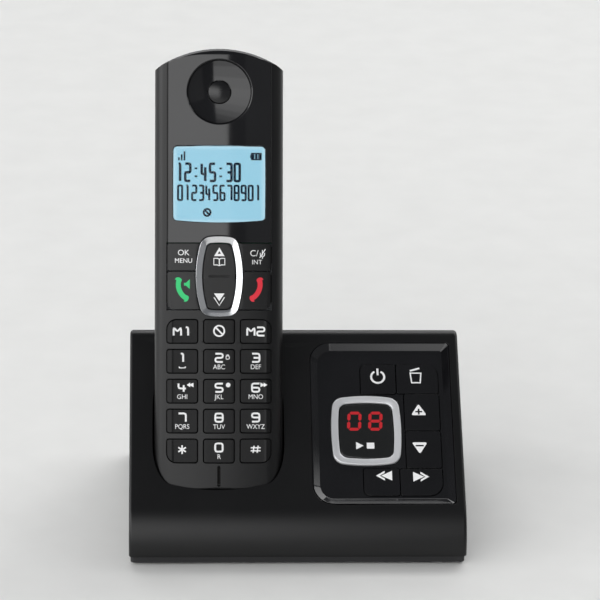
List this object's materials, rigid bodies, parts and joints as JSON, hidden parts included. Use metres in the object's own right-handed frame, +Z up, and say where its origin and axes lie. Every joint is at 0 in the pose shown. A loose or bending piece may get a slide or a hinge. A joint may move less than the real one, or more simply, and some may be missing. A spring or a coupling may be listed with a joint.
{
  "type": "cordless telephone",
  "caption": "Slim cordless telephone handset with keypad and small display, standing in a wedge-shaped charging base with an answering-machine control panel.",
  "frame": {"origin": "on the table under the middle of the base", "axes": "+Z up, the front faces -Y, +X to the right of someone who faces the telephone"},
  "size_m": [0.123, 0.096, 0.1727],
  "materials": {
    "housing_black": "fine satin moulding grain",
    "plate_black": "fine matt moulding grain",
    "feet_rubber": "matt",
    "screw_steel": "zinc plated",
    "board_green": "solder mask",
    "jack_black": "moulded",
    "speaker_dark": "satin",
    "panel_gloss": "high gloss",
    "led_red": "red epoxy",
    "silicone_grey": "matt",
    "silver_trim": "satin silver plating",
    "window_dark": "smoked high gloss",
    "panel_key_black": "gloss with printed white signs",
    "key_black": "satin with printed white signs",
    "earpiece_black": "gloss",
    "lens_clear": "clear acrylic",
    "lcd_blue": "lit pale blue",
    "backlight_white": "moulded",
    "capsule_metal": "plain",
    "cell_sleeve": "shrink sleeve",
    "contact_brass": "gold flash"
  },
  "bodies": {
    "base": {"base_top_cover": "housing_black", "base_bottom_plate": "plate_black", "rubber_feet": "feet_rubber", "base_screws": "screw_steel", "base_board": "board_green", "line_jack": "jack_black", "power_jack": "jack_black", "base_speaker": "speaker_dark", "control_panel": "panel_gloss", "panel_board": "board_green", "led_display": "led_red", "base_key_mat": "silicone_grey", "display_frame": "silver_trim"},
    "handset": {"handset_front_cover": "housing_black", "handset_rear_cover": "housing_black", "faceplate": "panel_gloss", "earpiece_grille": "earpiece_black", "display_lens": "lens_clear", "lcd_panel": "lcd_blue", "lcd_backlight": "backlight_white", "receiver_capsule": "speaker_dark", "nav_ring": "silver_trim", "handset_keypad_mat": "silicone_grey", "handset_board": "board_green", "microphone": "capsule_metal", "battery_cells": "cell_sleeve", "battery_contacts": "screw_steel", "handset_charge_contacts": "capsule_metal", "handsfree_speaker": "speaker_dark", "handset_screws": "screw_steel"},
    "key_m1": {"key_m1": "key_black"},
    "key_block": {"key_block": "key_black"},
    "key_m2": {"key_m2": "key_black"},
    "key_1": {"key_1": "key_black"},
    "key_2": {"key_2": "key_black"},
    "key_3": {"key_3": "key_black"},
    "key_4": {"key_4": "key_black"},
    "key_5": {"key_5": "key_black"},
    "key_6": {"key_6": "key_black"},
    "key_7": {"key_7": "key_black"},
    "key_8": {"key_8": "key_black"},
    "key_9": {"key_9": "key_black"},
    "key_star": {"key_star": "key_black"},
    "key_0": {"key_0": "key_black"},
    "key_hash": {"key_hash": "key_black"},
    "key_ok": {"key_ok": "key_black"},
    "key_cancel": {"key_cancel": "key_black"},
    "key_talk": {"key_talk": "key_black"},
    "key_end": {"key_end": "key_black"},
    "nav_key": {"nav_key": "key_black"},
    "battery_door": {"battery_door": "housing_black"},
    "play_stop_key": {"play_stop_key": "window_dark"},
    "key_power": {"key_power": "panel_key_black"},
    "key_delete": {"key_delete": "panel_key_black"},
    "key_volume_up": {"key_volume_up": "panel_key_black"},
    "key_volume_down": {"key_volume_down": "panel_key_black"},
    "key_skip_back": {"key_skip_back": "panel_key_black"},
    "key_skip_forward": {"key_skip_forward": "panel_key_black"},
    "charge_contact_left": {"charge_contact_left": "contact_brass"},
    "charge_contact_right": {"charge_contact_right": "contact_brass"}
  },
  "joints": [
    {"name": "handset_lift", "type": "slide", "parent": "base", "child": "handset", "axis": [0, 0.3746, 0.9272], "range_m": [0, 0.07]},
    {"name": "key_m1_press", "type": "slide", "parent": "handset", "child": "key_m1", "axis": [0, 0.9272, -0.3746], "range_m": [0, 0.0006], "stiffness_N_per_m": 1500},
    {"name": "key_block_press", "type": "slide", "parent": "handset", "child": "key_block", "axis": [0, 0.9272, -0.3746], "range_m": [0, 0.0006], "stiffness_N_per_m": 1500},
    {"name": "key_m2_press", "type": "slide", "parent": "handset", "child": "key_m2", "axis": [0, 0.9272, -0.3746], "range_m": [0, 0.0006], "stiffness_N_per_m": 1500},
    {"name": "key_1_press", "type": "slide", "parent": "handset", "child": "key_1", "axis": [0, 0.9272, -0.3746], "range_m": [0, 0.0006], "stiffness_N_per_m": 1500},
    {"name": "key_2_press", "type": "slide", "parent": "handset", "child": "key_2", "axis": [0, 0.9272, -0.3746], "range_m": [0, 0.0006], "stiffness_N_per_m": 1500},
    {"name": "key_3_press", "type": "slide", "parent": "handset", "child": "key_3", "axis": [0, 0.9272, -0.3746], "range_m": [0, 0.0006], "stiffness_N_per_m": 1500},
    {"name": "key_4_press", "type": "slide", "parent": "handset", "child": "key_4", "axis": [0, 0.9272, -0.3746], "range_m": [0, 0.0006], "stiffness_N_per_m": 1500},
    {"name": "key_5_press", "type": "slide", "parent": "handset", "child": "key_5", "axis": [0, 0.9272, -0.3746], "range_m": [0, 0.0006], "stiffness_N_per_m": 1500},
    {"name": "key_6_press", "type": "slide", "parent": "handset", "child": "key_6", "axis": [0, 0.9272, -0.3746], "range_m": [0, 0.0006], "stiffness_N_per_m": 1500},
    {"name": "key_7_press", "type": "slide", "parent": "handset", "child": "key_7", "axis": [0, 0.9272, -0.3746], "range_m": [0, 0.0006], "stiffness_N_per_m": 1500},
    {"name": "key_8_press", "type": "slide", "parent": "handset", "child": "key_8", "axis": [0, 0.9272, -0.3746], "range_m": [0, 0.0006], "stiffness_N_per_m": 1500},
    {"name": "key_9_press", "type": "slide", "parent": "handset", "child": "key_9", "axis": [0, 0.9272, -0.3746], "range_m": [0, 0.0006], "stiffness_N_per_m": 1500},
    {"name": "key_star_press", "type": "slide", "parent": "handset", "child": "key_star", "axis": [0, 0.9272, -0.3746], "range_m": [0, 0.0006], "stiffness_N_per_m": 1500},
    {"name": "key_0_press", "type": "slide", "parent": "handset", "child": "key_0", "axis": [0, 0.9272, -0.3746], "range_m": [0, 0.0006], "stiffness_N_per_m": 1500},
    {"name": "key_hash_press", "type": "slide", "parent": "handset", "child": "key_hash", "axis": [0, 0.9272, -0.3746], "range_m": [0, 0.0006], "stiffness_N_per_m": 1500},
    {"name": "key_ok_press", "type": "slide", "parent": "handset", "child": "key_ok", "axis": [0, 0.9272, -0.3746], "range_m": [0, 0.0006], "stiffness_N_per_m": 1500},
    {"name": "key_cancel_press", "type": "slide", "parent": "handset", "child": "key_cancel", "axis": [0, 0.9272, -0.3746], "range_m": [0, 0.0006], "stiffness_N_per_m": 1500},
    {"name": "key_talk_press", "type": "slide", "parent": "handset", "child": "key_talk", "axis": [0, 0.9272, -0.3746], "range_m": [0, 0.0006], "stiffness_N_per_m": 1500},
    {"name": "key_end_press", "type": "slide", "parent": "handset", "child": "key_end", "axis": [0, 0.9272, -0.3746], "range_m": [0, 0.0006], "stiffness_N_per_m": 1500},
    {"name": "nav_key_rock", "type": "hinge", "parent": "handset", "child": "nav_key", "pos_m": [-0.0288, -0.0021, 0.09501], "axis": [1, 0, 0], "range_deg": [-3, 3], "stiffness_Nm_per_rad": 0.15},
    {"name": "battery_door_pull", "type": "slide", "parent": "handset", "child": "battery_door", "axis": [0, 0.9272, -0.3746], "range_m": [0, 0.02]},
    {"name": "play_stop_key_press", "type": "slide", "parent": "base", "child": "play_stop_key", "axis": [0, 0.6428, -0.766], "range_m": [0, 0.0005], "stiffness_N_per_m": 1500},
    {"name": "key_power_press", "type": "slide", "parent": "base", "child": "key_power", "axis": [0, 0.6428, -0.766], "range_m": [0, 0.0005], "stiffness_N_per_m": 1500},
    {"name": "key_delete_press", "type": "slide", "parent": "base", "child": "key_delete", "axis": [0, 0.6428, -0.766], "range_m": [0, 0.0005], "stiffness_N_per_m": 1500},
    {"name": "key_volume_up_press", "type": "slide", "parent": "base", "child": "key_volume_up", "axis": [0, 0.6428, -0.766], "range_m": [0, 0.0005], "stiffness_N_per_m": 1500},
    {"name": "key_volume_down_press", "type": "slide", "parent": "base", "child": "key_volume_down", "axis": [0, 0.6428, -0.766], "range_m": [0, 0.0005], "stiffness_N_per_m": 1500},
    {"name": "key_skip_back_press", "type": "slide", "parent": "base", "child": "key_skip_back", "axis": [0, 0.6428, -0.766], "range_m": [0, 0.0005], "stiffness_N_per_m": 1500},
    {"name": "key_skip_forward_press", "type": "slide", "parent": "base", "child": "key_skip_forward", "axis": [0, 0.6428, -0.766], "range_m": [0, 0.0005], "stiffness_N_per_m": 1500},
    {"name": "charge_contact_left_press", "type": "slide", "parent": "base", "child": "charge_contact_left", "axis": [0, -0.3746, -0.9272], "range_m": [0, 0.0008], "stiffness_N_per_m": 600},
    {"name": "charge_contact_right_press", "type": "slide", "parent": "base", "child": "charge_contact_right", "axis": [0, -0.3746, -0.9272], "range_m": [0, 0.0008], "stiffness_N_per_m": 600}
  ]
}
